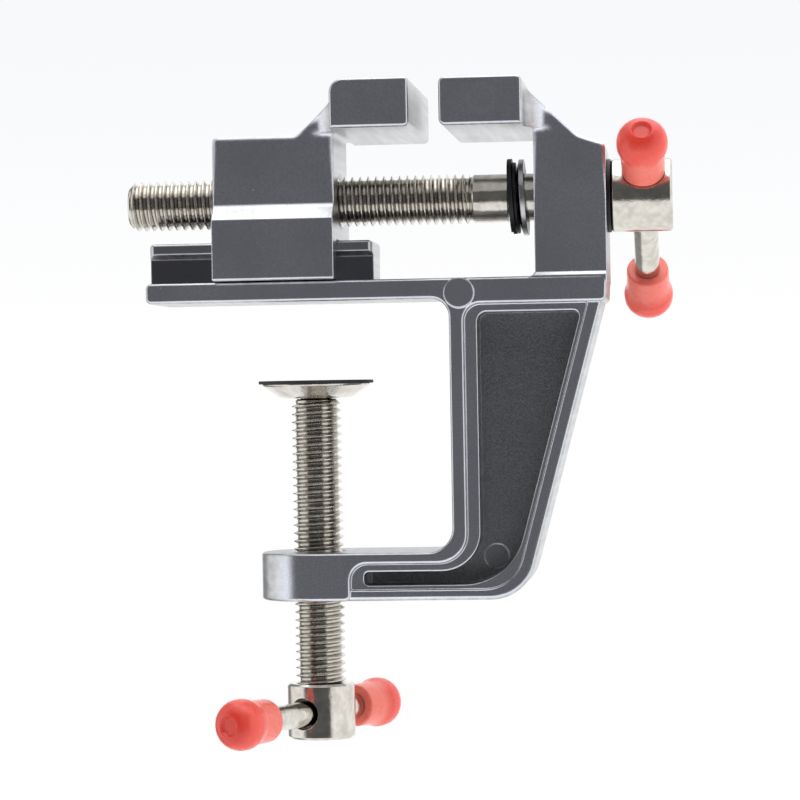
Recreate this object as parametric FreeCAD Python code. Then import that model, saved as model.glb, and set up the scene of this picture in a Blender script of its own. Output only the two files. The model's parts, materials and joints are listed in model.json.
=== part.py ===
import FreeCAD, Part
import math
import os

# Small clamp-on bench vise for holding circuit boards, with 35 mm jaws.
# Units: millimetres.  +Z is up, +X runs along the main screw towards its handle.
# Origin: where the axis of the clamp screw meets the flat underside of the bed, in the middle plane of the casting.

os.makedirs("parts", exist_ok=True)

# ---- driving dimensions ----------------------------------------------------------------------------------------
CAST_HALF = 9.0            # half width of the bed, the C-frame and the lower arm
BED_TOP = 3.2
BED_LEFT = -25.5
BED_RIGHT = 46.55
THROAT_X = 22.0            # inner face of the C-frame
RIB_X = 24.3               # outer side of the inner rib
ARM_TOP = -39.3
ARM_RIB_Z = -41.1          # underside of the upper rib of the lower arm
ARM_BOTTOM = -46.8
SHELF_TOP = -0.9
BOSS_END_X = 5.9
SPINE_X = 45.98            # outer edge of the C-frame level with the underside of the bed
SPINE_LEAN = 0.2727        # how far that edge leans inwards per unit of drop
RIM_HALF = 8.5             # half width over the outer and lower rims of the C-frame
SHELF_HALF = 7.4           # half width over the shelf inside the rims
WEB_HALF = 2.5             # half thickness of the web between the two pockets
POCKET_LEFT = 26.3         # sides of the deep pocket floors
POCKET_TOP = -2.2
POCKET_BOTTOM = -44.4
POCKET_ARM_TOP = -42.4     # top of the narrow part of each floor that runs along the lower arm
POCKET_ARM_END_X = 8.0

COLUMN_HALF = 8.5
COLUMN_LEFT = 35.5
COLUMN_RIGHT = 46.6

JAW_HALF = 17.5            # half of the 35 mm jaw width
JAW_BOTTOM = 26.1
FIXED_JAW_FACE = 21.7
FIXED_JAW_BACK = 34.4
FIXED_JAW_TOP = 33.55
MOVING_JAW_FACE = 17.05
MOVING_JAW_BACK = 4.9
MOVING_JAW_TOP = 33.7
NECK_BLEND = 4.2           # concave radius where each jaw block runs into its narrower body

RAIL_LEFT = -25.3
RAIL_RIGHT = 10.0
RAIL_TOP = 9.5
FLANGE_HALF = 6.0
FLANGE_UNDER = 7.85
NECK_TOP = 7.1
RAIL_NECK_HALF = 4.7
RAIL_GAP = 0.12            # sliding clearance of the moving jaw around the rail

SADDLE_LEFT = -14.6
SADDLE_RIGHT = 4.4
SADDLE_HALF = 11.0
SADDLE_BOTTOM = 3.35
SADDLE_TOP = 12.8
NUT_BODY_HALF = 8.8
NUT_BODY_FOOT = 15.1
NUT_BODY_TOP = 25.8

SCREW_Z = 15.85            # height of the main screw axis
THREAD_PITCH = 1.25        # M8 coarse
THREAD_R = 3.95
THREAD_CORE_R = 3.3
SCREW_BORE_R = 4.0
SHANK_R = 3.8
MAIN_TIP = -29.2
MAIN_THREAD_END = 25.0
MAIN_HUB_START = 47.2
MAIN_HUB_END = 56.8
MAIN_HUB_R = 5.75
MAIN_BAR_X = 52.35         # cross hole of the main screw
GROOVE_X = 31.65           # middle of the groove for the retaining clip
GROOVE_WIDTH = 1.2
GROOVE_R = 3.0

PAD_TOP = -12.3            # bearing face of the pad facing
PAD_RIM = -12.8
PAD_BOTTOM = -15.1
PAD_SHEET = 0.8
PAD_NECK_BOTTOM = -15.2    # shoulder of the clamp screw under the pad
PAD_NECK_R = 2.5
CLAMP_HUB_TOP = -60.1
CLAMP_HUB_BOTTOM = -68.8
CLAMP_HUB_R = 5.35
CLAMP_BAR_Z = -64.7

BAR_R = 2.0
BAR_HOLE_R = 2.5
BAR_LENGTH = 39.8
BAR_OVERALL = 44.3         # over both caps
CAP_LENGTH = 9.8
MAIN_BAR_TILT = 54.0       # degrees from vertical, top end towards the front
CLAMP_BAR_TURN = 27.0      # degrees from the width direction
MAIN_BAR_SHIFT = -6.45     # how far the middle of each bar sits from its screw axis
CLAMP_BAR_SHIFT = 3.0

LOOSE_TILT = 3.0           # degrees the clip and the loose washers lean on the shank

X_AXIS = FreeCAD.Vector(1, 0, 0)
Y_AXIS = FreeCAD.Vector(0, 1, 0)
Z_AXIS = FreeCAD.Vector(0, 0, 1)
ORIGIN = FreeCAD.Vector(0, 0, 0)


# ---- outlines and simple solids --------------------------------------------------------------------------------
def rounded_face(corners, place):
    """Flat face through corners (u, v, radius); place(u, v) turns each outline point into a 3-D point."""
    arcs = []
    for index, (u, v, radius) in enumerate(corners):
        corner = FreeCAD.Vector(u, v, 0)
        before = FreeCAD.Vector(*corners[index - 1][:2], 0) - corner
        after = FreeCAD.Vector(*corners[(index + 1) % len(corners)][:2], 0) - corner
        before.normalize()
        after.normalize()
        half_angle = before.getAngle(after) / 2
        reach = radius / math.tan(half_angle)
        middle = before + after
        middle.normalize()
        sagitta = radius / math.sin(half_angle) - radius
        arcs.append((corner + before * reach, corner + middle * sagitta, corner + after * reach))
    edges = []
    for index, (start, middle, end) in enumerate(arcs):
        previous_end = arcs[index - 1][2]
        if previous_end.distanceToPoint(start) > 1e-6:
            edges.append(Part.makeLine(place(previous_end.x, previous_end.y), place(start.x, start.y)))
        if start.distanceToPoint(end) > 1e-6:
            points = [place(point.x, point.y) for point in (start, middle, end)]
            edges.append(Part.Arc(*points).toShape())
    return Part.Face(Part.Wire(edges))


def side_prism(corners, y_from, y_to):
    """Outline in (x, z), extruded across the width."""
    face = rounded_face(corners, lambda x, z: FreeCAD.Vector(x, y_from, z))
    return face.extrude(FreeCAD.Vector(0, y_to - y_from, 0))


def plan_prism(corners, z_from, z_to):
    """Outline in (x, y), extruded upwards."""
    face = rounded_face(corners, lambda x, y: FreeCAD.Vector(x, y, z_from))
    return face.extrude(FreeCAD.Vector(0, 0, z_to - z_from))


def cross_prism(corners, x_from, x_to):
    """Outline in (y, z), extruded along the bed."""
    face = rounded_face(corners, lambda y, z: FreeCAD.Vector(x_from, y, z))
    return face.extrude(FreeCAD.Vector(x_to - x_from, 0, 0))


def mirrored(half):
    """Closed outline symmetric about the middle plane, from its corners on the negative side."""
    return half + [(-u, v, radius) for u, v, radius in reversed(half)]


def turned_outline(corners):
    """Solid of revolution about Z from closed corners (radius, height, rounding)."""
    face = rounded_face(corners, lambda radius, height: FreeCAD.Vector(radius, 0, height))
    return face.revolve(ORIGIN, Z_AXIS, 360)


def block(x_from, x_to, y_half, z_from, z_to):
    size = (x_to - x_from, 2 * y_half, z_to - z_from)
    return Part.makeBox(*size, FreeCAD.Vector(x_from, -y_half, z_from))


def rod(start, direction, length, radius):
    return Part.makeCylinder(radius, length, start, direction)


def stepped(start, direction, sections):
    """Turned piece: a list of (length, radius at start, radius at end) laid end to end."""
    pieces = []
    point = FreeCAD.Vector(start)
    for length, radius, end_radius in sections:
        if abs(radius - end_radius) < 1e-6:
            pieces.append(Part.makeCylinder(radius, length, point, direction))
        else:
            pieces.append(Part.makeCone(radius, end_radius, length, point, direction))
        point = point + direction * length
    return pieces[0].fuse(pieces[1:]).removeSplitter()


def along(start, direction, solid):
    """Copy of a solid modelled along +Z, moved so that it runs from start along direction."""
    placed = solid.copy()
    placed.Placement = FreeCAD.Placement(start, FreeCAD.Rotation(Z_AXIS, direction))
    return placed


def edges_across(shape, y):
    """Edges longer than 1 mm that lie in the upright plane at y; seams of the round boss are left out."""
    found = []
    for edge in shape.Edges:
        box = edge.BoundBox
        flat = abs(box.YMin - y) < 1e-4 and abs(box.YMax - y) < 1e-4
        boss_seam = abs(box.XMin) < 1e-4 and abs(box.XMax) < 1e-4
        if flat and not boss_seam and edge.Length > 1.0:
            found.append(edge)
    return found


def soften(shape, planes, radius, cutters=()):
    """Round the edges in the upright planes; with cutters, only the edges those cutters left."""
    edges = []
    for y in planes:
        for edge in edges_across(shape, y):
            middle = edge.valueAt((edge.FirstParameter + edge.LastParameter) / 2)
            if not cutters or any(cutter.isInside(middle, 1e-3, True) for cutter in cutters):
                edges.append(edge)
    return shape.makeFillet(radius, edges)


# ---- frame casting ---------------------------------------------------------------------------------------------
def spine_x(z, inset):
    """Outer edge of the C-frame at height z, moved inwards by inset."""
    return SPINE_X + SPINE_LEAN * z - inset


def raised_body():
    """Bed, inner rib, top of the lower arm and round screw boss: the parts at full width."""
    outline = [
        (BED_LEFT, BED_TOP, 0.9),
        (BED_RIGHT, BED_TOP, 0.9),
        (BED_RIGHT - 0.2, SHELF_TOP, 0.9),
        (RIB_X, SHELF_TOP, 2.6),
        (RIB_X, ARM_RIB_Z, 4.6),
        (BOSS_END_X, ARM_RIB_Z, 2.6),
        (BOSS_END_X, ARM_BOTTOM, 0.9),
        (0.0, ARM_BOTTOM, 0),
        (0.0, ARM_TOP, 0),
        (THROAT_X, ARM_TOP, 3.8),
        (THROAT_X, 0.0, 2.8),
        (BED_LEFT, 0.0, 0.9),
    ]
    boss = rod(FreeCAD.Vector(0, 0, ARM_BOTTOM), Z_AXIS, ARM_TOP - ARM_BOTTOM, CAST_HALF)
    body = side_prism(outline, -CAST_HALF, CAST_HALF).fuse(boss).removeSplitter()
    return soften(body, (-CAST_HALF, CAST_HALF), 0.5)


def rim_body():
    """Outer and lower rims of the C-frame with the two-level pockets, a little narrower than the bed."""
    inside = 1.6
    outline = [
        (RIB_X - inside, BED_TOP / 2, 0),
        (spine_x(BED_TOP / 2, 0), BED_TOP / 2, 0),
        (spine_x(ARM_BOTTOM, 0), ARM_BOTTOM, 7.0),
        (BOSS_END_X - 2 * inside, ARM_BOTTOM, 0),
        (BOSS_END_X - 2 * inside, ARM_RIB_Z + inside, 0),
        (RIB_X - inside, ARM_RIB_Z + inside, 4.0),
    ]
    body = soften(side_prism(outline, -RIM_HALF, RIM_HALF), (-RIM_HALF, RIM_HALF), 0.7)
    shelves = [cut_from_side(pocket_shelf(), side, SHELF_HALF) for side in (-1, 1)]
    body = soften(body.cut(shelves), (-RIM_HALF, RIM_HALF), 0.4, shelves)
    floors = [cut_from_side(pocket_floor(), side, WEB_HALF) for side in (-1, 1)]
    return soften(body.cut(floors), (-SHELF_HALF, SHELF_HALF), 0.3, floors)


def pocket_shelf():
    """Outline of the shelf inside the rims; its edges against the full-width body lie hidden in that body."""
    hidden = 0.3
    rim = 2.2
    bottom = -45.1
    return [
        (RIB_X - hidden, SHELF_TOP + hidden, 2.6),
        (spine_x(SHELF_TOP, rim), SHELF_TOP + hidden, 0.7),
        (spine_x(bottom, rim), bottom, 6.0),
        (BOSS_END_X - hidden, bottom, 0.7),
        (BOSS_END_X - hidden, ARM_RIB_Z + hidden, 2.6),
        (RIB_X - hidden, ARM_RIB_Z + hidden, 4.6),
    ]


def pocket_floor():
    """Outline of the deep floor of each pocket."""
    rim = 3.0
    return [
        (POCKET_LEFT, POCKET_TOP, 1.5),
        (spine_x(POCKET_TOP, rim), POCKET_TOP, 0.9),
        (spine_x(POCKET_BOTTOM, rim), POCKET_BOTTOM, 9.5),
        (POCKET_ARM_END_X, POCKET_BOTTOM, 0.7),
        (POCKET_ARM_END_X, POCKET_ARM_TOP, 0.7),
        (POCKET_LEFT, POCKET_ARM_TOP, 6.2),
    ]


def cut_from_side(outline, side, depth_y):
    """Prism that removes everything beyond depth_y on one side of the casting."""
    beyond = CAST_HALF + 1
    if side < 0:
        return side_prism(outline, -beyond, -depth_y)
    return side_prism(outline, depth_y, beyond)


def ejector_marks():
    """Round pads left by ejector pins on the front half of the casting."""
    sunk = 0.5
    junction_proud = 0.25
    pocket_proud = 0.35
    junction_start = FreeCAD.Vector(23.65, -CAST_HALF - junction_proud, 0.85)
    junction = rod(junction_start, Y_AXIS, junction_proud + sunk, 2.35)
    pocket = rod(FreeCAD.Vector(28.45, -WEB_HALF - pocket_proud, -40.3), Y_AXIS, pocket_proud + sunk, 1.95)
    return [junction.makeFillet(0.15, junction.Edges), pocket]


def t_rail():
    """T-section rail on the bed, with rounded ends, that guides the moving jaw."""
    half = [
        (-RAIL_NECK_HALF, BED_TOP - 0.5, 0),
        (-RAIL_NECK_HALF, NECK_TOP, 0),
        (-FLANGE_HALF, FLANGE_UNDER, 0.25),
        (-FLANGE_HALF, RAIL_TOP, 0.5),
    ]
    rail = cross_prism(mirrored(half), RAIL_LEFT, RAIL_RIGHT)
    ends = [
        (RAIL_LEFT, BED_TOP - 1, 0),
        (RAIL_LEFT, RAIL_TOP, 0.8),
        (RAIL_RIGHT, RAIL_TOP, 0.8),
        (RAIL_RIGHT, BED_TOP - 1, 0),
    ]
    plan = [
        (RAIL_LEFT, -FLANGE_HALF - 0.1, 1.2),
        (RAIL_LEFT, FLANGE_HALF + 0.1, 1.2),
        (RAIL_RIGHT, FLANGE_HALF + 0.1, 1.2),
        (RAIL_RIGHT, -FLANGE_HALF - 0.1, 1.2),
    ]
    rail = rail.common(side_prism(ends, -JAW_HALF, JAW_HALF))
    return rail.common(plan_prism(plan, BED_TOP - 1, RAIL_TOP + 1))


def column():
    """Upright that carries the main screw, on a slightly wider foot."""
    upright = block(COLUMN_LEFT, COLUMN_RIGHT, COLUMN_HALF, BED_TOP - 1, FIXED_JAW_TOP)
    foot_top = BED_TOP + 0.6
    front_slope = mirrored([
        (-CAST_HALF + 0.1, BED_TOP - 1, 0),
        (-CAST_HALF + 0.1, BED_TOP + 0.1, 0),
        (-COLUMN_HALF, foot_top, 0),
    ])
    left_blend = [
        (COLUMN_LEFT - 1.0, BED_TOP - 1, 0),
        (COLUMN_LEFT - 1.0, BED_TOP, 0),
        (COLUMN_LEFT, BED_TOP, 0.9),
        (COLUMN_LEFT, foot_top + 1, 0),
        (COLUMN_RIGHT - 0.1, foot_top + 1, 0),
        (COLUMN_RIGHT - 0.1, BED_TOP - 1, 0),
    ]
    foot = cross_prism(front_slope, COLUMN_LEFT - 2, COLUMN_RIGHT)
    foot = foot.common(side_prism(left_blend, -CAST_HALF, CAST_HALF))
    return upright, foot


def jaw_block(face_x, back_x, neck_end_x, neck_half):
    """Full-width jaw block that runs with a concave blend on each side into its narrower neck."""
    half = [
        (face_x, -JAW_HALF, 0),
        (back_x, -JAW_HALF, 0),
        (back_x, -neck_half, NECK_BLEND),
        (neck_end_x, -neck_half, 0),
    ]
    outline = half + [(x, -y, radius) for x, y, radius in reversed(half)]
    return plan_prism(outline, JAW_BOTTOM, MOVING_JAW_TOP + 1)


def fixed_jaw_on_column():
    """Fixed jaw block running down a slope into the column, and the foot of the column."""
    slope_end_x = 42.2
    slope_end_z = 24.9
    column_top_right = 23.4
    side = [
        (FIXED_JAW_FACE, JAW_BOTTOM, 1.0),
        (FIXED_JAW_FACE, FIXED_JAW_TOP, 1.0),
        (FIXED_JAW_BACK, FIXED_JAW_TOP, 0.9),
        (FIXED_JAW_BACK, FIXED_JAW_TOP - 1.3, 0.3),
        (slope_end_x, slope_end_z, 3.0),
        (COLUMN_RIGHT, column_top_right, 0.8),
        (COLUMN_RIGHT, BED_TOP - 1, 0),
        (COLUMN_LEFT, BED_TOP - 1, 0),
        (COLUMN_LEFT, JAW_BOTTOM, 0.5),
    ]
    upright, foot = column()
    jaw = jaw_block(FIXED_JAW_FACE, FIXED_JAW_BACK, COLUMN_RIGHT, COLUMN_HALF)
    shaped = upright.fuse(jaw).common(side_prism(side, -JAW_HALF - 1, JAW_HALF + 1))
    return shaped.removeSplitter(), foot


def frame_casting():
    """The whole fixed casting: bed, C-frame, T-rail, column and fixed jaw in one piece."""
    jaw, foot = fixed_jaw_on_column()
    jaw = soften(jaw, (-JAW_HALF, JAW_HALF), 0.5)
    body = raised_body().fuse([rim_body(), t_rail(), foot, jaw])
    body = body.fuse(ejector_marks())
    overlong = 2.0
    shank_hole_start = FreeCAD.Vector(COLUMN_LEFT - overlong, 0, SCREW_Z)
    shank_hole = rod(shank_hole_start, X_AXIS, COLUMN_RIGHT - COLUMN_LEFT + 2 * overlong, SHANK_R + 0.05)
    clamp_hole = along(FreeCAD.Vector(0, 0, ARM_BOTTOM), Z_AXIS, threaded_hole(ARM_TOP - ARM_BOTTOM))
    return body.cut(shank_hole).cut(clamp_hole)


def threaded_hole(depth):
    """Clearance bore with a chamfer at each end, standing for an M8 tapped hole."""
    chamfer = 0.5
    wide = SCREW_BORE_R + chamfer
    sections = [
        (1.0, wide, wide),
        (chamfer, wide, SCREW_BORE_R),
        (depth - 2 * chamfer, SCREW_BORE_R, SCREW_BORE_R),
        (chamfer, SCREW_BORE_R, wide),
        (1.0, wide, wide),
    ]
    return stepped(FreeCAD.Vector(0, 0, -1), Z_AXIS, sections)


# ---- moving jaw ------------------------------------------------------------------------------------------------
def saddle():
    """Nut body and saddle with the slot for the T-rail, overlong at both ends."""
    slot_half = RAIL_NECK_HALF + RAIL_GAP
    slot_wide = FLANGE_HALF + RAIL_GAP
    half = [
        (-SADDLE_HALF, SADDLE_BOTTOM, 0.4),
        (-SADDLE_HALF, SADDLE_TOP, 0.15),
        (-NUT_BODY_HALF, NUT_BODY_FOOT, 1.6),
        (-NUT_BODY_HALF, FIXED_JAW_TOP, 0),
    ]
    slot = mirrored([
        (-slot_half, SADDLE_BOTTOM - 1, 0),
        (-slot_half, NECK_TOP - RAIL_GAP, 0),
        (-slot_wide, FLANGE_UNDER - RAIL_GAP, 0),
        (-slot_wide, RAIL_TOP + RAIL_GAP, 0),
    ])
    body = cross_prism(mirrored(half), SADDLE_LEFT - 1, SADDLE_RIGHT + 1)
    return body.cut(cross_prism(slot, SADDLE_LEFT - 2, SADDLE_RIGHT + 2))


def moving_jaw():
    """Saddle on the rail, nut body and jaw block in one casting."""
    slope_foot_x = -1.2
    side = [
        (MOVING_JAW_FACE, JAW_BOTTOM, 0.8),
        (MOVING_JAW_FACE, MOVING_JAW_TOP, 0.6),
        (MOVING_JAW_BACK, MOVING_JAW_TOP, 2.2),
        (MOVING_JAW_BACK, MOVING_JAW_TOP - 2.3, 0),
        (slope_foot_x, NUT_BODY_TOP, 2.0),
        (SADDLE_LEFT, NUT_BODY_TOP, 0.9),
        (SADDLE_LEFT, SADDLE_BOTTOM, 0.2),
        (SADDLE_RIGHT, SADDLE_BOTTOM, 0.2),
        (SADDLE_RIGHT, JAW_BOTTOM, 0.5),
    ]
    body = saddle().fuse(jaw_block(MOVING_JAW_FACE, MOVING_JAW_BACK, SADDLE_RIGHT - 6.0, NUT_BODY_HALF))
    body = body.common(side_prism(side, -JAW_HALF - 1, JAW_HALF + 1)).removeSplitter()
    body = soften(body, (-JAW_HALF, JAW_HALF), 0.5)
    nut_hole = along(FreeCAD.Vector(SADDLE_LEFT, 0, SCREW_Z), X_AXIS, threaded_hole(SADDLE_RIGHT - SADDLE_LEFT))
    return body.cut(nut_hole)


# ---- screws ----------------------------------------------------------------------------------------------------
def thread_ridge(turns):
    """Helical ridge of a right-hand M8 thread over whole turns, its root sunk a little into the core."""
    sunk_r = THREAD_CORE_R - 0.1
    root_half = 0.51
    crest_half = 0.08
    profile = [(sunk_r, -root_half), (THREAD_R, -crest_half), (THREAD_R, crest_half), (sunk_r, root_half)]
    helices = []
    for radius, height in profile:
        helix = Part.makeHelix(THREAD_PITCH, THREAD_PITCH, radius)
        helix.translate(FreeCAD.Vector(0, 0, height))
        helices.append(helix.Edges[0])
    faces = []
    for first, second in zip(helices, helices[1:] + helices[:1]):
        strip = Part.makeRuledSurface(first, second)
        for turn in range(turns):
            faces.append(strip.translated(FreeCAD.Vector(0, 0, turn * THREAD_PITCH)))
    for height in (0, turns * THREAD_PITCH):
        corners = [FreeCAD.Vector(radius, 0, z + height) for radius, z in profile]
        faces.append(Part.Face(Part.makePolygon(corners + corners[:1])))
    skin = Part.Compound(faces)
    skin.sewShape(1e-4)
    ridge = Part.Solid(skin.Shells[0])
    if ridge.Volume < 0:
        ridge.reverse()
    return ridge


def threaded_rod(length):
    """Right-hand M8 thread along +Z, chamfered at its lower end."""
    turns = math.ceil(length / THREAD_PITCH) + 2
    ridge = thread_ridge(turns)
    ridge.translate(FreeCAD.Vector(0, 0, -THREAD_PITCH))
    core = Part.makeCylinder(THREAD_CORE_R, length + 4 * THREAD_PITCH, FreeCAD.Vector(0, 0, -2 * THREAD_PITCH))
    chamfer = 0.9
    envelope = stepped(ORIGIN, Z_AXIS, [
        (2 * chamfer, THREAD_R - chamfer, THREAD_R + chamfer),
        (length - 2 * chamfer, THREAD_R + chamfer, THREAD_R + chamfer),
    ])
    return core.fuse(ridge).common(envelope)


def screw_hub(start, direction, length, radius):
    """Round head of a screw with small chamfers."""
    chamfer = 0.35
    return stepped(start, direction, [
        (chamfer, radius - chamfer, radius),
        (length - 2 * chamfer, radius, radius),
        (chamfer, radius, radius - chamfer),
    ])


def main_screw():
    axis_point = FreeCAD.Vector(0, 0, SCREW_Z)
    thread = along(axis_point + X_AXIS * MAIN_TIP, X_AXIS, threaded_rod(MAIN_THREAD_END - MAIN_TIP))
    groove_start = GROOVE_X - GROOVE_WIDTH / 2
    groove_end = GROOVE_X + GROOVE_WIDTH / 2
    shoulder = 0.7
    shank = stepped(axis_point + X_AXIS * MAIN_THREAD_END, X_AXIS, [
        (shoulder, THREAD_CORE_R, SHANK_R),
        (groove_start - MAIN_THREAD_END - shoulder, SHANK_R, SHANK_R),
        (GROOVE_WIDTH, GROOVE_R, GROOVE_R),
        (MAIN_HUB_START - groove_end, SHANK_R, SHANK_R),
    ])
    hub_length = MAIN_HUB_END - MAIN_HUB_START
    hub = screw_hub(axis_point + X_AXIS * MAIN_HUB_START, X_AXIS, hub_length, MAIN_HUB_R)
    bar_hole = rod(main_bar_middle() - main_bar_direction() * 10, main_bar_direction(), 20.0, BAR_HOLE_R)
    return thread.fuse(shank.fuse(hub).removeSplitter().cut(bar_hole))


def clamp_screw():
    """Clamp screw: threaded shaft, neck and rivet head that hold the pad, round head below."""
    length = PAD_NECK_BOTTOM - CLAMP_HUB_TOP
    thread = along(FreeCAD.Vector(0, 0, PAD_NECK_BOTTOM), FreeCAD.Vector(0, 0, -1), threaded_rod(length))
    neck = stepped(FreeCAD.Vector(0, 0, PAD_NECK_BOTTOM - 0.01), Z_AXIS, [
        (PAD_SHEET + 0.21, PAD_NECK_R, PAD_NECK_R),
        (0.6, 3.6, 3.6),
        (0.4, 3.6, 2.8),
    ])
    hub = screw_hub(FreeCAD.Vector(0, 0, CLAMP_HUB_BOTTOM), Z_AXIS, CLAMP_HUB_TOP - CLAMP_HUB_BOTTOM, CLAMP_HUB_R)
    middle = FreeCAD.Vector(0, 0, CLAMP_BAR_Z)
    bar_hole = rod(middle - clamp_bar_direction() * 10, clamp_bar_direction(), 20.0, BAR_HOLE_R)
    return thread.fuse([neck, hub.cut(bar_hole)])


# ---- clip and washers ------------------------------------------------------------------------------------------
def leaning(solid, x):
    """Move a flat piece modelled around the origin along +Z onto the main screw at x, leaning on the shank."""
    lean = FreeCAD.Rotation(Y_AXIS, 90 - LOOSE_TILT)
    placed = solid.copy()
    placed.Placement = FreeCAD.Placement(FreeCAD.Vector(x, 0, SCREW_Z), lean)
    return placed


def washer(outer_r, inner_r, thickness):
    return turned_outline([
        (inner_r, -thickness / 2, 0),
        (outer_r, -thickness / 2, 0.1),
        (outer_r, thickness / 2, 0.1),
        (inner_r, thickness / 2, 0),
    ])


def retaining_clip():
    """E-clip: open ring with three inner lugs that seat in the groove, open at the bottom."""
    thickness = 0.7
    outer_r = 6.15
    relief_r = 4.35
    seat_r = GROOVE_R + 0.03
    mouth_half = 2.7
    lug_half = 1.2
    low = FreeCAD.Vector(0, 0, -thickness / 2)
    clip = Part.makeCylinder(outer_r, thickness, low).cut(Part.makeCylinder(relief_r, thickness, low))
    for angle in (180, 62, -62):
        lug = Part.makeBox(relief_r + 0.3, 2 * lug_half, thickness, FreeCAD.Vector(0, -lug_half, -thickness / 2))
        lug.rotate(ORIGIN, Z_AXIS, angle)
        clip = clip.fuse(lug)
    seat = Part.makeCylinder(seat_r, thickness, low)
    mouth = Part.makeBox(outer_r + 1, 2 * mouth_half, thickness, FreeCAD.Vector(0, -mouth_half, -thickness / 2))
    return leaning(clip.cut([seat, mouth]).removeSplitter(), GROOVE_X)


def clip_washer():
    """Flat washer next to the retaining clip."""
    return leaning(washer(5.6, SHANK_R + 0.3, 0.5), GROOVE_X + 0.65)


def dished_washer():
    """Loose dished spring washer next to the flat one."""
    inner_r = SHANK_R + 0.3
    outer_r = 6.0
    dish = 0.5
    thickness = 0.8
    shape = turned_outline([
        (inner_r, 0, 0),
        (outer_r, dish, 0.1),
        (outer_r, dish + thickness, 0.1),
        (inner_r, thickness, 0),
    ])
    return leaning(shape, GROOVE_X + 0.95)


def thrust_washer():
    """Flat washer between the column and the hub of the main screw."""
    thickness = 0.55
    shape = washer(MAIN_HUB_R, SHANK_R + 0.1, thickness)
    return along(FreeCAD.Vector(COLUMN_RIGHT + 0.02 + thickness / 2, 0, SCREW_Z), X_AXIS, shape)


# ---- pad -------------------------------------------------------------------------------------------------------
def swivel_pad():
    """Shallow dished steel pad, free to turn on the neck of the clamp screw."""
    top_r = 8.5
    flat_r = 5.6
    hole_r = PAD_NECK_R + 0.08
    return turned_outline([
        (hole_r, PAD_BOTTOM, 0),
        (flat_r, PAD_BOTTOM, 2.5),
        (top_r, PAD_RIM - 0.3, 0.4),
        (top_r, PAD_RIM, 0.1),
        (top_r - PAD_SHEET, PAD_RIM, 0.1),
        (flat_r - 0.5, PAD_BOTTOM + PAD_SHEET, 1.8),
        (hole_r, PAD_BOTTOM + PAD_SHEET, 0),
    ])


def pad_facing():
    """Thin dark disc on the rim of the pad, which bears on the table."""
    return turned_outline([
        (0, PAD_RIM, 0),
        (9.1, PAD_RIM, 0.15),
        (9.1, PAD_TOP, 0.15),
        (0, PAD_TOP, 0),
    ])


# ---- sliding handle bars ---------------------------------------------------------------------------------------
def main_bar_direction():
    tilt = math.radians(MAIN_BAR_TILT)
    return FreeCAD.Vector(0, -math.sin(tilt), math.cos(tilt))


def main_bar_middle():
    return FreeCAD.Vector(MAIN_BAR_X, 0, SCREW_Z)


def clamp_bar_direction():
    turn = math.radians(CLAMP_BAR_TURN)
    return FreeCAD.Vector(-math.sin(turn), -math.cos(turn), 0)


def handle_bar(middle, direction):
    """Plain steel bar centred on middle."""
    chamfer = 0.4
    return stepped(middle - direction * (BAR_LENGTH / 2), direction, [
        (chamfer, BAR_R - chamfer, BAR_R),
        (BAR_LENGTH - 2 * chamfer, BAR_R, BAR_R),
        (chamfer, BAR_R, BAR_R - chamfer),
    ])


def soft_cap(middle, direction):
    """Soft cap pushed over one end of a bar: slim collar, wider domed head with a dimple in its end."""
    collar_r = 3.35
    head_r = 3.95
    dimple_r = 1.6
    depth = BAR_LENGTH / 2 - (BAR_OVERALL / 2 - CAP_LENGTH)
    shape = turned_outline([
        (BAR_R, 0, 0),
        (collar_r, 0, 0.35),
        (collar_r + 0.1, 4.2, 3.5),
        (head_r, 5.9, 1.5),
        (head_r, CAP_LENGTH - 0.9, 3.0),
        (dimple_r, CAP_LENGTH, 0.15),
        (dimple_r - 0.4, CAP_LENGTH - 0.5, 0.3),
        (0, CAP_LENGTH - 0.5, 0),
        (0, depth, 0),
        (BAR_R, depth, 0),
    ])
    return along(middle + direction * (BAR_OVERALL / 2 - CAP_LENGTH), direction, shape)


def main():
    main_bar = main_bar_middle() + main_bar_direction() * MAIN_BAR_SHIFT
    clamp_bar = FreeCAD.Vector(0, 0, CLAMP_BAR_Z) + clamp_bar_direction() * CLAMP_BAR_SHIFT
    pieces = {
        "frame_casting": frame_casting(),
        "moving_jaw": moving_jaw(),
        "main_screw": main_screw(),
        "thrust_washer": thrust_washer(),
        "dished_washer": dished_washer(),
        "clip_washer": clip_washer(),
        "retaining_clip": retaining_clip(),
        "main_tbar_rod": handle_bar(main_bar, main_bar_direction()),
        "main_tbar_cap_upper": soft_cap(main_bar, main_bar_direction()),
        "main_tbar_cap_lower": soft_cap(main_bar, main_bar_direction() * -1),
        "clamp_screw": clamp_screw(),
        "swivel_pad": swivel_pad(),
        "pad_facing": pad_facing(),
        "clamp_tbar_rod": handle_bar(clamp_bar, clamp_bar_direction()),
        "clamp_tbar_cap_front": soft_cap(clamp_bar, clamp_bar_direction()),
        "clamp_tbar_cap_back": soft_cap(clamp_bar, clamp_bar_direction() * -1),
    }
    for name, shape in pieces.items():
        shape.exportStep(f"parts/{name}.step")
        print(name, shape.isValid(), len(shape.Solids), round(shape.Volume, 1))


main()
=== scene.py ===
import json
import math

import bpy
from mathutils import Matrix, Vector


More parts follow.
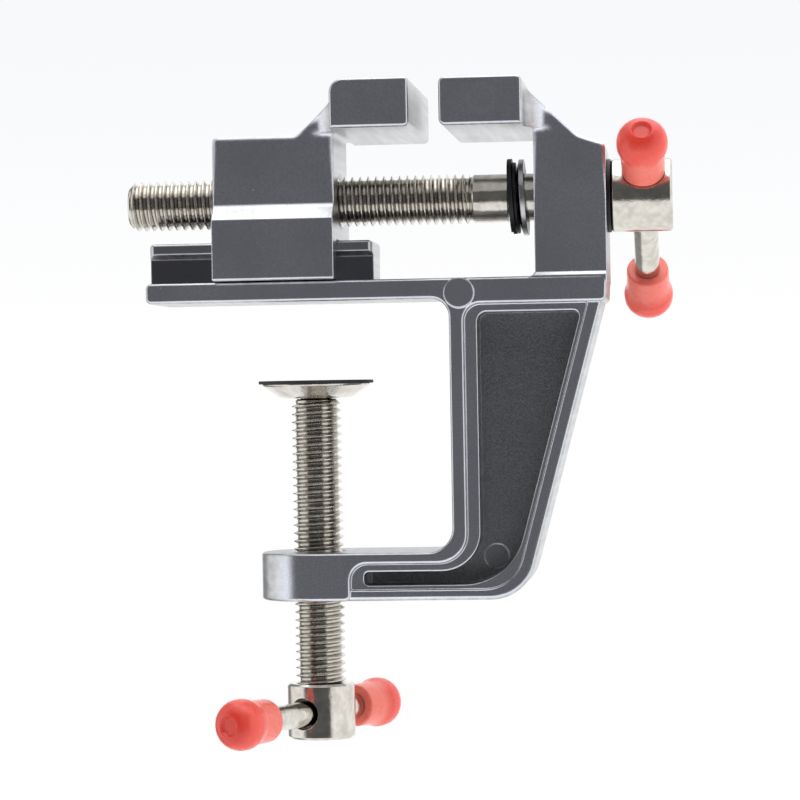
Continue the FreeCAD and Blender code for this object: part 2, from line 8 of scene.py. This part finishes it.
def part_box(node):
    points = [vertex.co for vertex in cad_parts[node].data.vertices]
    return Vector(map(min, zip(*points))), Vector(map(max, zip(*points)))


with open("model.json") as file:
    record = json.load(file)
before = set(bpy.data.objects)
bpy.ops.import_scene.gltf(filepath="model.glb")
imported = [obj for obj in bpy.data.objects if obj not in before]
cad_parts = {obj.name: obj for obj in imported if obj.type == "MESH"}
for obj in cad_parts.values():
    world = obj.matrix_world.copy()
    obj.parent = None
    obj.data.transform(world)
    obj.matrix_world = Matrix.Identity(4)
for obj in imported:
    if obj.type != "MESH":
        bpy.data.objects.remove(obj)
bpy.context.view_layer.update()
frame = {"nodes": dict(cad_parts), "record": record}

# Small clamp-on bench vise for circuit boards, in a white light tent.
# Metres, +Z up, +X along the main screw towards its handle.

MM = 0.001

# ---- camera: level with the C-frame, a little to the right of it ----
CAMERA_PLACE = Vector((0.0627, -0.4862, -0.0146))
CAMERA_TURN = math.radians(5.8)
CAMERA_DIP = math.radians(0.12)
CAMERA_ROLL = math.radians(1.0)
CAMERA_LENS = 139.2
CAMERA_SENSOR = 36.0

# ---- floor: low enough to stay clear of the clamp screw when it is screwed right out ----
FLOOR_Z = -0.0940
FLOOR_HALF_WIDTH = 1.5
FLOOR_COLOR = (0.90, 0.905, 0.91)
FLOOR_FADE = (0.13, 0.26)        # distance from the origin over which it turns into the backdrop

# ---- backdrop, as the camera sees it ----
BACKDROP_COLOR = (1.0, 1.0, 1.0)
BACKDROP_TOP_COLOR = (0.935, 0.945, 0.965)
BACKDROP_FADE = (0.02, 0.11)     # upward component of the view over which the backdrop greys

# ---- light tent, as metal mirrors it; dark zones are ranges of the mirrored direction ----
TENT_COLOR = (0.97, 0.985, 1.0)
TENT_LIGHT = 1.15
ROOM_SIDEWAYS = (-0.80, 0.62)
ROOM_UPWARDS = (-0.36, 0.72)
ROOM_BLUR = 0.07
ROOM_LIGHT = 0.11
CURTAIN_SIDEWAYS = (-0.85, -0.45)
CURTAIN_BLUR = 0.05
CURTAIN_DARKNESS = 0.7
TOP_LIGHT_PLACE = Vector((0.1, 0.1, 0.7))
TOP_LIGHT_WIDTH = 0.9
TOP_LIGHT_POWER = 3.2

# ---- colours; a pair is the two tones of a mottled surface ----
CAST_FRONT = ((0.78, 0.79, 0.88), (0.90, 0.91, 0.99))
CAST_CLOUD = (0.62, 0.63, 0.69)
CAST_SIDE = ((0.44, 0.44, 0.44), (0.58, 0.58, 0.58))
# rough as-cast pocket floors, darkened with painted shade of the recess
CAST_POCKET_AND_SHADE = ((0.19, 0.195, 0.21), (0.29, 0.295, 0.31))
# painted shade for the fronts of the T-rail
RAIL_PAINTED_SHADE = (0.24, 0.24, 0.27)
CAST_SEAM = (0.16, 0.16, 0.17)
# painted highlight: white for the lit edge of the ejector ring on the fixed jaw
JAW_MARK_HIGHLIGHT = (1.0, 1.0, 1.0)
# painted highlight: near-white for the lit edge of the ejector pad in the pocket
POCKET_MARK_HIGHLIGHT = (0.95, 0.96, 1.0)
NICKEL = ((0.56, 0.52, 0.46), (0.72, 0.69, 0.63))
# painted shade for the thread roots and tight corners of the nickel parts
NICKEL_CREVICE_SHADE = (0.11, 0.095, 0.08)
CAP_COLLAR = ((0.92, 0.185, 0.14), (0.95, 0.215, 0.165))
CAP_HEAD = (0.89, 0.105, 0.075)
# painted shade for the domed outer end of a cap
CAP_END_SHADE = (0.74, 0.05, 0.035)
# painted glow: the caps emit a faint red light
CAP_PAINTED_GLOW = (1.0, 0.12, 0.07)
CAP_SCATTER = (1.0, 0.35, 0.25)  # relative reach of red, green and blue light in the vinyl
OXIDE = ((0.012, 0.012, 0.014), (0.035, 0.034, 0.036))
SPRING = ((0.50, 0.50, 0.51), (0.64, 0.64, 0.65))
RUBBER = ((0.015, 0.015, 0.016), (0.03, 0.03, 0.032))

# ---- the back and the top mirror the white of the tent; painted shade, a darker skin, brings them near the fronts ----
BACK_SHADE = (0.36, 0.36, 0.38)
TOP_SHADE = (0.62, 0.62, 0.64)

# ---- positions used by the finishes ----
POCKET_DEPTH_Y = 0.0032          # the rough pocket floors lie closer to the middle plane than this
POCKET_TOP_Z = -0.0020
JAW_MARK_PLACE = Vector((0.0282, 0.0, 0.0302))
JAW_MARK_RADIUS = 0.0020
JAW_FRONT_Y = 0.0170
POCKET_MARK_PLACE = Vector((0.02845, 0.0, -0.0403))
POCKET_MARK_RADIUS = 0.00195
RING_HALF_WIDTH = 0.1 * MM
RAIL_HEIGHT = (0.0033, 0.0094)
RAIL_DEPTH_Y = (0.0047, 0.0073)
SEAM_HALF_WIDTH = 0.05 * MM
SEAM_WANDER = 0.25 * MM
NARROW_EDGE = 0.32 * MM
WIDE_EDGE = 1.3 * MM
BAR_HALF_LENGTH = 0.02215        # from the middle of a handle bar to the outer end of a cap
CAP_LENGTH = 0.0098


# ---- node helpers ----
class Nodes:
    """A node tree with short-hands for the nodes used here."""

    def __init__(self, tree, space):
        self.tree = tree
        self.coordinates = tree.nodes.new("ShaderNodeTexCoord").outputs[space]

    def node(self, kind, **settings):
        made = self.tree.nodes.new(kind)
        for key, value in settings.items():
            setattr(made, key, value)
        return made

    def link(self, source, target):
        self.tree.links.new(source, target)

    def noise(self, size, detail=3.0, stretch=(1.0, 1.0, 1.0)):
        """Noise with blotches about size metres across; stretch below 1 lengthens them along that axis."""
        scaled = self.node("ShaderNodeVectorMath", operation="MULTIPLY")
        self.link(self.coordinates, scaled.inputs[0])
        scaled.inputs[1].default_value = stretch
        made = self.node("ShaderNodeTexNoise")
        made.inputs["Scale"].default_value = 1.0 / size
        made.inputs["Detail"].default_value = detail
        self.link(scaled.outputs["Vector"], made.inputs["Vector"])
        return made.outputs["Fac"]

    def spots(self, size):
        """Distance to the nearest of many points about size metres apart."""
        made = self.node("ShaderNodeTexVoronoi")
        made.inputs["Scale"].default_value = 1.0 / size
        self.link(self.coordinates, made.inputs["Vector"])
        return made.outputs["Distance"]

    def ramp(self, value, low, high, to_low=0.0, to_high=1.0):
        """Value mapped from low..high to to_low..to_high, clamped."""
        made = self.node("ShaderNodeMapRange")
        self.link(value, made.inputs["Value"])
        made.inputs["From Min"].default_value = low
        made.inputs["From Max"].default_value = high
        made.inputs["To Min"].default_value = to_low
        made.inputs["To Max"].default_value = to_high
        return made.outputs["Result"]

    def band(self, value, low, high, blur):
        """1 where value lies between low and high, falling to 0 over blur on either side."""
        above = self.ramp(value, low - blur, low + blur)
        below = self.ramp(value, high - blur, high + blur, 1.0, 0.0)
        return self.product(above, below)

    def mottled(self, noise, tones):
        """The two tones mixed by a noise."""
        return self.mix_color(self.ramp(noise, 0.35, 0.65), *tones)

    def varied(self, noise, low, high):
        """A value that follows a noise between low and high."""
        return self.ramp(noise, 0.3, 0.7, low, high)

    def product(self, first, *others):
        for other in others:
            first = self.math("MULTIPLY", first, other)
        return first

    def total(self, first, *others):
        for other in others:
            first = self.math("ADD", first, other)
        return first

    def math(self, operation, first, second=0.0):
        made = self.node("ShaderNodeMath", operation=operation)
        for slot, value in zip(made.inputs, (first, second)):
            if isinstance(value, (int, float)):
                slot.default_value = value
            else:
                self.link(value, slot)
        return made.outputs["Value"]

    def mix_color(self, factor, first, second, blend="MIX"):
        """Mix of two colours; inputs 6 and 7 and output 2 are the colour sockets of a Mix node."""
        made = self.node("ShaderNodeMix", data_type="RGBA", blend_type=blend)
        self.link(factor, made.inputs["Factor"])
        for slot, value in zip((made.inputs[6], made.inputs[7]), (first, second)):
            if isinstance(value, tuple):
                slot.default_value = (*value, 1.0)
            else:
                self.link(value, slot)
        return made.outputs[2]

    def mix_shader(self, factor, first, second):
        made = self.node("ShaderNodeMixShader")
        for slot, source in zip(made.inputs, (factor, first, second)):
            self.link(source, slot)
        return made.outputs["Shader"]

    def part(self, axis):
        """One component, X, Y or Z, of the position on a piece or of a direction."""
        made = self.node("ShaderNodeSeparateXYZ")
        self.link(self.coordinates, made.inputs["Vector"])
        return made.outputs[axis]


class Finish(Nodes):
    """A new material around one principled shader."""

    def __init__(self, name):
        self.material = bpy.data.materials.new(name)
        self.material.use_nodes = True
        super().__init__(self.material.node_tree, "Object")
        self.shader = self.tree.nodes["Principled BSDF"]

    def toward(self, axis):
        """How squarely the surface faces along an axis, -1 to 1."""
        normal = self.node("ShaderNodeTexCoord").outputs["Normal"]
        split = self.node("ShaderNodeSeparateXYZ")
        self.link(normal, split.inputs["Vector"])
        return split.outputs[axis]

    def facing(self, axis):
        """How squarely the surface faces along an axis, 0 to 1, whichever way it points."""
        return self.math("ABSOLUTE", self.toward(axis))

    def soft_edges(self, radius):
        """Normal rounded off near edges; radius is a length or a value that varies over the piece."""
        made = self.node("ShaderNodeBevel", samples=8)
        if isinstance(radius, bpy.types.NodeSocket):
            self.link(radius, made.inputs["Radius"])
        else:
            made.inputs["Radius"].default_value = radius
        return made.outputs["Normal"]

    def bump(self, height, distance, normal=None):
        made = self.node("ShaderNodeBump")
        made.inputs["Distance"].default_value = distance
        self.link(height, made.inputs["Height"])
        if normal is not None:
            self.link(normal, made.inputs["Normal"])
        return made.outputs["Normal"]

    def set(self, name, value):
        target = self.shader.inputs[name]
        if isinstance(value, bpy.types.NodeSocket):
            self.link(value, target)
        elif isinstance(value, tuple) and len(value) == 3:
            target.default_value = (*value, 1.0)
        else:
            target.default_value = value


# ---- materials ----
def cast_aluminium():
    """Die-cast alloy: dark speckled skin on the fronts, linished grey sides, rough pocket floors; painted
    shade on the pocket floors, the T-rail, the backs and the tops, and painted highlights on the ejector
    rings.
    """
    finish = Finish("cast_aluminium")
    clouds = finish.noise(12 * MM, 3.0)
    speckle = finish.noise(0.28 * MM, 4.0)
    sand = finish.noise(0.22 * MM, 3.0)
    streaks = finish.noise(1.2 * MM, 4.0, stretch=(1.0, 0.06, 1.0))
    pocket = pocket_mask(finish)
    side = finish.ramp(finish.facing("Y"), 0.97, 0.70)
    back = finish.ramp(finish.toward("Y"), 0.5, 0.95)
    top = finish.ramp(finish.toward("Z"), 0.85, 0.98)
    jaw_ring = jaw_mark(finish)

    skin = finish.mottled(speckle, CAST_FRONT)
    skin = finish.mix_color(finish.ramp(clouds, 0.35, 0.65, 0.0, 0.5), skin, CAST_CLOUD)
    # painted highlight: the ejector ring on the fixed jaw is whitened where its edge would catch the light
    skin = finish.mix_color(finish.product(jaw_ring, 0.5), skin, JAW_MARK_HIGHLIGHT)
    # painted shade on the T-rail fronts, darkest on the recessed neck
    skin = finish.mix_color(rail_shade(finish), skin, RAIL_PAINTED_SHADE)
    skin = finish.mix_color(side, skin, finish.mottled(streaks, CAST_SIDE))
    skin = finish.mix_color(parting_line(finish, side), skin, CAST_SEAM)
    # pocket floors: sandy as-cast skin, darkened with painted shade of the recess
    sandy_shaded = finish.mottled(sand, CAST_POCKET_AND_SHADE)
    # painted highlight on the edge of the ejector pad
    sandy_shaded = finish.mix_color(pocket_mark_highlight(finish), sandy_shaded, POCKET_MARK_HIGHLIGHT)
    skin = finish.mix_color(pocket, skin, sandy_shaded)
    # painted shade on faces turned to the back and to the top
    skin = finish.mix_color(back, skin, BACK_SHADE, "MULTIPLY")
    skin = finish.mix_color(top, skin, TOP_SHADE, "MULTIPLY")
    finish.set("Base Color", skin)
    finish.set("Metallic", 1.0)

    roughness = finish.total(
        finish.varied(clouds, 0.19, 0.24),
        finish.product(pocket, 0.25),
        finish.product(side, 0.10),
    )
    finish.set("Roughness", roughness)

    relief = finish.total(
        finish.product(speckle, 0.09),
        finish.product(pits(finish), 0.8),
        finish.noise(5 * MM, 1.0),
        finish.product(sand, pocket),
        finish.product(streaks, side, 0.5),
        finish.product(jaw_ring, 0.9),
    )
    finish.set("Normal", finish.bump(relief, 0.05 * MM, finish.soft_edges(edge_width(finish))))
    return finish.material


def depth_from_middle(finish):
    """Distance from the middle plane of the casting."""
    return finish.math("ABSOLUTE", finish.part("Y"))


def front_faces(finish):
    """1 on faces that look along Y, whichever way."""
    return finish.ramp(finish.facing("Y"), 0.4, 0.8)


def pocket_mask(finish):
    """1 on the deep floors of the C-frame pockets."""
    near_web = finish.ramp(depth_from_middle(finish), POCKET_DEPTH_Y, POCKET_DEPTH_Y - 0.3 * MM)
    below_bed = finish.ramp(finish.part("Z"), POCKET_TOP_Z, POCKET_TOP_Z - 0.2 * MM)
    return finish.product(front_faces(finish), near_web, below_bed)


def rail_shade(finish):
    """Painted shade on the fronts of the T-rail, darkest on its recessed neck."""
    height = finish.band(finish.part("Z"), *RAIL_HEIGHT, 0.1 * MM)
    recess = finish.ramp(depth_from_middle(finish), *RAIL_DEPTH_Y, 1.0, 0.0)
    return finish.product(front_faces(finish), height, recess)


def parting_line(finish, side):
    """Thin broken line where the halves of the die met, in the middle plane of the sides."""
    wander = finish.ramp(finish.noise(4 * MM, 2.0), 0.0, 1.0, -SEAM_WANDER, SEAM_WANDER)
    offset = finish.total(finish.part("Y"), wander)
    line = finish.band(offset, -SEAM_HALF_WIDTH, SEAM_HALF_WIDTH, 0.03 * MM)
    broken = finish.ramp(finish.noise(2.5 * MM, 3.0), 0.48, 0.56, 0.0, 0.8)
    return finish.product(line, side, broken)


def pits(finish):
    """Small scattered pits, negative where the skin dips."""
    near = finish.ramp(finish.spots(2.6 * MM), 0.0, 0.05, -1.0, 0.0)
    return finish.product(near, finish.ramp(finish.noise(6 * MM, 2.0), 0.45, 0.60))


def ring(finish, place, radius, blur):
    """1 on a thin ring around place, as seen along Y."""
    distance = finish.node("ShaderNodeVectorMath", operation="DISTANCE")
    flat = finish.node("ShaderNodeCombineXYZ")
    finish.link(finish.part("X"), flat.inputs["X"])
    finish.link(finish.part("Z"), flat.inputs["Z"])
    finish.link(flat.outputs["Vector"], distance.inputs[0])
    distance.inputs[1].default_value = place
    return finish.band(distance.outputs["Value"], radius - RING_HALF_WIDTH, radius + RING_HALF_WIDTH, blur)


def jaw_mark(finish):
    """Faint round ejector mark on the front of the fixed jaw; its ring carries a real bump and a painted
    highlight.
    """
    front = finish.ramp(finish.part("Y"), -JAW_FRONT_Y, -JAW_FRONT_Y - 0.2 * MM)
    return finish.product(ring(finish, JAW_MARK_PLACE, JAW_MARK_RADIUS, 0.35 * MM), front)


def pocket_mark_highlight(finish):
    """Painted highlight on the broken edge of the ejector pad in the front pocket."""
    front = finish.ramp(finish.part("Y"), 0.0, -1 * MM)
    # noise breaks the painted highlight up
    broken_up = finish.ramp(finish.noise(1.5 * MM, 2.0), 0.35, 0.6, 0.25, 0.9)
    edge = ring(finish, POCKET_MARK_PLACE, POCKET_MARK_RADIUS, 0.12 * MM)
    return finish.product(broken_up, edge, front)


def edge_width(finish):
    """Edge rounding: wider on the high narrow parts, which are the nut body and the column."""
    narrow_part = finish.ramp(depth_from_middle(finish), 9.2 * MM, 9.6 * MM, 1.0, 0.0)
    upper_part = finish.ramp(finish.part("Z"), 15 * MM, 24 * MM)
    return finish.ramp(finish.product(narrow_part, upper_part), 0.0, 1.0, NARROW_EDGE, WIDE_EDGE)


def nickel_plate():
    """Bright nickel on turned steel: warm tint, mottled sheen, painted shade from ambient occlusion in the
    thread roots and other tight corners.
    """
    finish = Finish("nickel_plate")
    mottle = finish.noise(1.6 * MM, 4.0)
    fine = finish.noise(0.35 * MM, 3.0)
    # painted shade: ambient occlusion darkens the thread roots and tight corners
    crevice_ao = finish.node("ShaderNodeAmbientOcclusion", samples=8)
    crevice_ao.inputs["Distance"].default_value = 0.8 * MM
    unshaded = finish.ramp(crevice_ao.outputs["AO"], 0.20, 0.85)
    finish.set("Base Color", finish.mix_color(unshaded, NICKEL_CREVICE_SHADE, finish.mottled(mottle, NICKEL)))
    finish.set("Metallic", 1.0)
    finish.set("Roughness", finish.varied(mottle, 0.09, 0.16))
    relief = finish.total(mottle, finish.product(fine, 0.5))
    finish.set("Normal", finish.bump(relief, 0.035 * MM, finish.soft_edges(0.12 * MM)))
    return finish.material


def soft_vinyl(name, start, direction):
    """Soft red cap: paler where the bar shines through its collar, deeper red in the domed head, painted
    shade on its outer end and a faint painted glow.
    """
    finish = Finish(name)
    along = finish.node("ShaderNodeVectorMath", operation="DOT_PRODUCT")
    finish.link(finish.coordinates, along.inputs[0])
    along.inputs[1].default_value = direction
    distance = finish.math("SUBTRACT", along.outputs["Value"], start.dot(direction))
    head = finish.ramp(distance, 4.4 * MM, 5.6 * MM)
    end = finish.ramp(distance, 8.4 * MM, 9.6 * MM)
    cloud = finish.noise(2.0 * MM, 3.0)
    red = finish.mix_color(head, finish.mix_color(cloud, *CAP_COLLAR), CAP_HEAD)
    # painted shade on the outer end of the cap
    finish.set("Base Color", finish.mix_color(end, red, CAP_END_SHADE))
    finish.set("Roughness", finish.varied(cloud, 0.24, 0.34))
    finish.set("Subsurface Weight", 0.4)
    finish.set("Subsurface Scale", 1.2 * MM)
    finish.shader.inputs["Subsurface Radius"].default_value = CAP_SCATTER
    # painted glow: faint red emission from the vinyl
    finish.set("Emission Color", CAP_PAINTED_GLOW)
    finish.set("Emission Strength", 0.05)
    finish.set("Normal", finish.bump(finish.noise(0.7 * MM, 3.0), 0.02 * MM))
    return finish.material


def black_oxide():
    """Blackened steel of the clip and the thin washers."""
    finish = Finish("black_oxide")
    wear = finish.noise(0.8 * MM, 4.0)
    finish.set("Base Color", finish.mix_color(wear, *OXIDE))
    finish.set("Metallic", 0.5)
    finish.set("Roughness", finish.varied(wear, 0.38, 0.55))
    finish.set("Normal", finish.bump(wear, 0.015 * MM, finish.soft_edges(0.08 * MM)))
    return finish.material


def spring_steel():
    """Bare steel of the dished washer."""
    finish = Finish("spring_steel")
    grain = finish.noise(0.5 * MM, 4.0)
    finish.set("Base Color", finish.mix_color(grain, *SPRING))
    finish.set("Metallic", 1.0)
    finish.set("Roughness", finish.varied(grain, 0.24, 0.36))
    finish.set("Normal", finish.bump(grain, 0.02 * MM, finish.soft_edges(0.1 * MM)))
    return finish.material


def black_rubber():
    """Dull facing of the pad."""
    finish = Finish("black_rubber")
    grain = finish.noise(0.6 * MM, 4.0)
    finish.set("Base Color", finish.mix_color(grain, *RUBBER))
    finish.set("Roughness", finish.varied(grain, 0.6, 0.8))
    finish.set("Normal", finish.bump(grain, 0.03 * MM))
    return finish.material


# ---- which piece gets which finish ----
def slide_direction(joint_name):
    """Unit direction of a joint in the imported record."""
    joints = frame["record"]["behaviour"]["joints"]
    return Vector(next(joint["axis"] for joint in joints if joint["name"] == joint_name))


def cap_finish(cap, rod, direction):
    """Vinyl for one cap; direction points from the middle of its bar to the cap."""
    lowest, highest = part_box(rod)
    middle = (lowest + highest) / 2
    start = middle + direction * (BAR_HALF_LENGTH - CAP_LENGTH)
    return soft_vinyl("vinyl_" + cap, start, direction)


def dress_nodes():
    """Give every CAD node its finish."""
    casting = cast_aluminium()
    nickel = nickel_plate()
    black = black_oxide()
    main_direction = slide_direction("main_tbar_slide")
    clamp_direction = slide_direction("clamp_tbar_slide")
    finishes = {
        "frame_casting": casting,
        "moving_jaw": casting,
        "main_screw": nickel,
        "clamp_screw": nickel,
        "main_tbar_rod": nickel,
        "clamp_tbar_rod": nickel,
        "swivel_pad": nickel,
        "thrust_washer": black,
        "clip_washer": black,
        "retaining_clip": black,
        "dished_washer": spring_steel(),
        "pad_facing": black_rubber(),
    }
    caps = {
        "main_tbar_cap_upper": ("main_tbar_rod", main_direction),
        "main_tbar_cap_lower": ("main_tbar_rod", -main_direction),
        "clamp_tbar_cap_front": ("clamp_tbar_rod", clamp_direction),
        "clamp_tbar_cap_back": ("clamp_tbar_rod", -clamp_direction),
    }
    for cap, (rod, direction) in caps.items():
        finishes[cap] = cap_finish(cap, rod, direction)
    for name, material in finishes.items():
        mesh = frame["nodes"][name].data
        mesh.materials.clear()
        mesh.materials.append(material)


# ---- studio ----
def floor():
    """Pale matt floor, longer behind the vise than in front; polished metal doesn't mirror it."""
    side = FLOOR_HALF_WIDTH
    front, rear = -side, 3 * side
    outline = [(-side, front), (side, front), (side, rear), (-side, rear)]
    mesh = bpy.data.meshes.new("floor")
    mesh.from_pydata([(x, y, FLOOR_Z) for x, y in outline], [], [(0, 1, 2, 3)])
    made = bpy.data.objects.new("floor", mesh)
    bpy.context.scene.collection.objects.link(made)
    finish = Finish("pale_floor")
    finish.set("Base Color", FLOOR_COLOR)
    finish.set("Roughness", 0.9)
    fade_into_backdrop(finish)
    mesh.materials.append(finish.material)
    made.visible_glossy = False


def fade_into_backdrop(finish):
    """Away from the vise the floor takes the plain colour of the backdrop; from below it is clear."""
    distance = finish.node("ShaderNodeVectorMath", operation="LENGTH")
    finish.link(finish.coordinates, distance.inputs[0])
    far = finish.ramp(distance.outputs["Value"], *FLOOR_FADE)
    glow = finish.node("ShaderNodeEmission")
    glow.inputs["Color"].default_value = (*BACKDROP_COLOR, 1.0)
    above = finish.mix_shader(far, finish.shader.outputs["BSDF"], glow.outputs["Emission"])
    from_below = finish.node("ShaderNodeNewGeometry").outputs["Backfacing"]
    clear = finish.node("ShaderNodeBsdfTransparent").outputs["BSDF"]
    surface = finish.mix_shader(from_below, above, clear)
    finish.link(surface, finish.tree.nodes["Material Output"].inputs["Surface"])


def top_light():
    """Soft square light above, pointed at the origin."""
    data = bpy.data.lights.new("top_light", "AREA")
    data.shape = "SQUARE"
    data.size = TOP_LIGHT_WIDTH
    data.energy = TOP_LIGHT_POWER
    made = bpy.data.objects.new("top_light", data)
    made.location = TOP_LIGHT_PLACE
    made.rotation_euler = (-TOP_LIGHT_PLACE).to_track_quat("-Z", "Y").to_euler()
    bpy.context.scene.collection.objects.link(made)


def light_tent():
    """White all round, with a dark room behind the camera and a grey curtain at the left to mirror."""
    world = bpy.data.worlds.new("light_tent")
    bpy.context.scene.world = world
    world.use_nodes = True
    world.node_tree.nodes.clear()
    tent = Nodes(world.node_tree, "Generated")
    sideways = tent.part("X")
    away = tent.part("Y")
    upwards = tent.part("Z")
    room = tent.product(
        tent.band(sideways, *ROOM_SIDEWAYS, ROOM_BLUR),
        tent.band(upwards, *ROOM_UPWARDS, ROOM_BLUR),
        tent.ramp(away, 0.0, -0.1),
    )
    curtain = tent.product(
        tent.band(sideways, *CURTAIN_SIDEWAYS, CURTAIN_BLUR),
        tent.ramp(away, 0.2, 0.3),
    )
    dark = tent.total(tent.product(room, 1.0 - ROOM_LIGHT), tent.product(curtain, CURTAIN_DARKNESS))
    lit = tent.node("ShaderNodeBackground")
    lit.inputs["Color"].default_value = (*TENT_COLOR, 1.0)
    tent.link(tent.product(tent.math("SUBTRACT", 1.0, dark), TENT_LIGHT), lit.inputs["Strength"])
    seen = tent.node("ShaderNodeBackground")
    height = tent.ramp(upwards, *BACKDROP_FADE)
    tent.link(tent.mix_color(height, BACKDROP_COLOR, BACKDROP_TOP_COLOR), seen.inputs["Color"])
    from_camera = tent.node("ShaderNodeLightPath").outputs["Is Camera Ray"]
    surface = tent.mix_shader(from_camera, lit.outputs["Background"], seen.outputs["Background"])
    tent.link(surface, tent.node("ShaderNodeOutputWorld").inputs["Surface"])


def camera():
    """Camera turned to its left, dipped and rolled by the angles at the top."""
    level = math.cos(CAMERA_DIP)
    look = Vector((-math.sin(CAMERA_TURN) * level, math.cos(CAMERA_TURN) * level, -math.sin(CAMERA_DIP)))
    right = Vector((math.cos(CAMERA_TURN), math.sin(CAMERA_TURN), 0.0))
    up = right.cross(look)
    rolled_right = right * math.cos(CAMERA_ROLL) - up * math.sin(CAMERA_ROLL)
    rolled_up = right * math.sin(CAMERA_ROLL) + up * math.cos(CAMERA_ROLL)
    data = bpy.data.cameras.new("photo_camera")
    data.lens = CAMERA_LENS
    data.sensor_width = CAMERA_SENSOR
    made = bpy.data.objects.new("photo_camera", data)
    axes = Matrix((rolled_right, rolled_up, -look)).transposed()
    made.matrix_world = Matrix.Translation(CAMERA_PLACE) @ axes.to_4x4()
    bpy.context.scene.collection.objects.link(made)
    bpy.context.scene.camera = made


dress_nodes()
floor()
light_tent()
top_light()
camera()
bpy.context.scene.view_settings.view_transform = "Standard"
